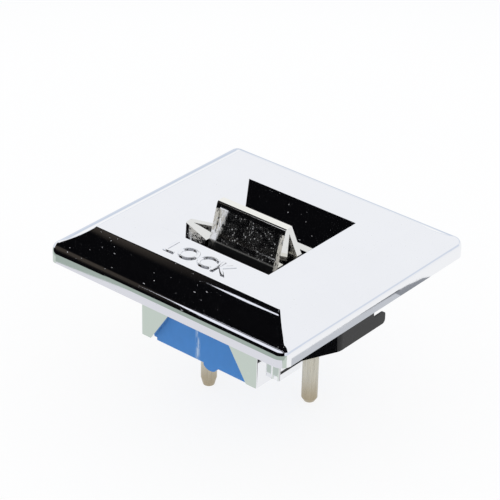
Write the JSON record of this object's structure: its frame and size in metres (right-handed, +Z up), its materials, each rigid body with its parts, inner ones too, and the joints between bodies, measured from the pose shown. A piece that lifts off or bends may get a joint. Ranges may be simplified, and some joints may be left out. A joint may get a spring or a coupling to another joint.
{
  "type": "power window switch",
  "caption": "Square chromed panel switch with a rocker lever in a recessed opening, a moulded base with round terminal pins, and side springs that hold it in its panel.",
  "frame": {"origin": "centre of the bezel on the plane where its rim seats on the panel", "axes": "+Z up out of the panel, X along the lever's hinge, -Y towards the marked side"},
  "size_m": [0.0572, 0.0544, 0.0385],
  "materials": {
    "bezel_chrome": "bright chrome plating on die-cast zinc",
    "lever_chrome": "bright chrome plating on die-cast zinc",
    "pin_steel": "ground steel",
    "blue_nylon": "moulded, slightly glossy",
    "phenolic_board": "punched phenolic board",
    "rivet_steel": "zinc plated",
    "nickelled_brass": "nickel plated",
    "strip_brass": "rolled",
    "contact_silver": "silver faced",
    "formed_copper": "rolled and formed",
    "plunger_acetal": "moulded",
    "spring_steel": "drawn wire",
    "black_spring_steel": "black oxide, oiled"
  },
  "bodies": {
    "housing": {"bezel": "bezel_chrome", "hinge_pin_right": "pin_steel", "hinge_pin_left": "pin_steel", "switch_base": "blue_nylon", "base_cover": "phenolic_board", "cover_rivets": "rivet_steel", "terminal_pin_front": "nickelled_brass", "terminal_pin_rear": "nickelled_brass", "terminal_pin_common": "nickelled_brass", "contact_strip_front": "strip_brass", "contact_strip_rear": "strip_brass", "fixed_contact_front": "contact_silver", "fixed_contact_rear": "contact_silver", "common_strip": "strip_brass", "retaining_spring_right": "black_spring_steel", "retaining_spring_left": "black_spring_steel"},
    "lever": {"rocker_lever": "lever_chrome", "plunger_spring": "spring_steel"},
    "plunger_slider": {"plunger": "plunger_acetal"},
    "see_saw": {"contact_rocker": "formed_copper", "moving_contact_front": "contact_silver", "moving_contact_rear": "contact_silver"}
  },
  "joints": [
    {"name": "lever_rock", "type": "hinge", "parent": "housing", "child": "lever", "pos_m": [0, 0, -0.0025], "axis": [1, 0, 0], "range_deg": [-10, 10], "stiffness_Nm_per_rad": 0.08},
    {"name": "plunger_travel", "type": "slide", "parent": "lever", "child": "plunger_slider", "axis": [0, 0, 1], "range_m": [0, 0.0008], "stiffness_N_per_m": 200, "deforming": ["plunger_spring"]},
    {"name": "contact_tilt", "type": "hinge", "parent": "housing", "child": "see_saw", "pos_m": [0, 0, -0.01045], "axis": [1, 0, 0], "range_deg": [-4, 4]}
  ],
  "couplings": [
    {"joint": "contact_tilt", "follows": "lever_rock", "ratio": -0.4}
  ]
}
